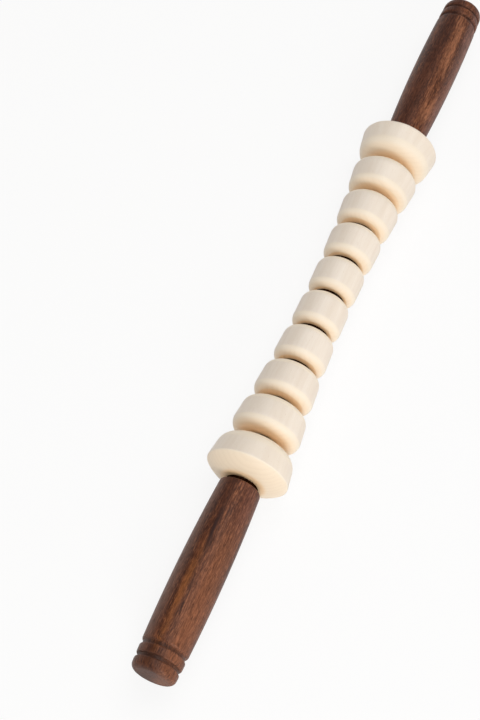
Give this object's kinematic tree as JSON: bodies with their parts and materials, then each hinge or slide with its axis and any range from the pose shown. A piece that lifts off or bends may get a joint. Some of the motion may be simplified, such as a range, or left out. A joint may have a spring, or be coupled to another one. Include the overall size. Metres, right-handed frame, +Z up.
{
  "type": "massage roller",
  "caption": "Wooden massage roller stick: pale turned wheels, rims in one hollow sweep, spin freely on a core rod between two dark turned handles.",
  "frame": {"origin": "under the middle of the roller, level with the lowest point of its two end wheels", "axes": "+X along the rod towards the right handle, +Z up"},
  "size_m": [0.43, 0.0418, 0.0419],
  "materials": {
    "handle_wood": "dark hardwood, satin lacquer",
    "ring_wood": "dark hardwood, satin lacquer",
    "wheel_wood": "pale hardwood, fine sanded, clear matt lacquer",
    "rod_steel": "drawn steel"
  },
  "bodies": {
    "stick": {"core_rod": "rod_steel", "left_handle": "handle_wood", "right_handle": "handle_wood", "spacer_1": "ring_wood", "spacer_2": "ring_wood", "spacer_3": "ring_wood", "spacer_4": "ring_wood", "spacer_5": "ring_wood", "spacer_6": "ring_wood", "spacer_7": "ring_wood", "spacer_8": "ring_wood", "spacer_9": "ring_wood", "spacer_10": "ring_wood", "spacer_11": "ring_wood"},
    "wheel_1": {"wheel_1": "wheel_wood"},
    "wheel_2": {"wheel_2": "wheel_wood"},
    "wheel_3": {"wheel_3": "wheel_wood"},
    "wheel_4": {"wheel_4": "wheel_wood"},
    "wheel_5": {"wheel_5": "wheel_wood"},
    "wheel_6": {"wheel_6": "wheel_wood"},
    "wheel_7": {"wheel_7": "wheel_wood"},
    "wheel_8": {"wheel_8": "wheel_wood"},
    "wheel_9": {"wheel_9": "wheel_wood"},
    "wheel_10": {"wheel_10": "wheel_wood"}
  },
  "joints": [
    {"name": "wheel_1_spin", "type": "hinge", "parent": "stick", "child": "wheel_1", "pos_m": [-0.10135, 0, 0.02093], "axis": [1, 0, 0], "continuous": true},
    {"name": "wheel_2_spin", "type": "hinge", "parent": "stick", "child": "wheel_2", "pos_m": [-0.07805, 0, 0.02093], "axis": [1, 0, 0], "continuous": true},
    {"name": "wheel_3_spin", "type": "hinge", "parent": "stick", "child": "wheel_3", "pos_m": [-0.05575, 0, 0.02093], "axis": [1, 0, 0], "continuous": true},
    {"name": "wheel_4_spin", "type": "hinge", "parent": "stick", "child": "wheel_4", "pos_m": [-0.03345, 0, 0.02093], "axis": [1, 0, 0], "continuous": true},
    {"name": "wheel_5_spin", "type": "hinge", "parent": "stick", "child": "wheel_5", "pos_m": [-0.01115, 0, 0.02093], "axis": [1, 0, 0], "continuous": true},
    {"name": "wheel_6_spin", "type": "hinge", "parent": "stick", "child": "wheel_6", "pos_m": [0.01115, 0, 0.02093], "axis": [1, 0, 0], "continuous": true},
    {"name": "wheel_7_spin", "type": "hinge", "parent": "stick", "child": "wheel_7", "pos_m": [0.03345, 0, 0.02093], "axis": [1, 0, 0], "continuous": true},
    {"name": "wheel_8_spin", "type": "hinge", "parent": "stick", "child": "wheel_8", "pos_m": [0.05575, 0, 0.02093], "axis": [1, 0, 0], "continuous": true},
    {"name": "wheel_9_spin", "type": "hinge", "parent": "stick", "child": "wheel_9", "pos_m": [0.07805, 0, 0.02093], "axis": [1, 0, 0], "continuous": true},
    {"name": "wheel_10_spin", "type": "hinge", "parent": "stick", "child": "wheel_10", "pos_m": [0.10135, 0, 0.02093], "axis": [1, 0, 0], "continuous": true}
  ]
}
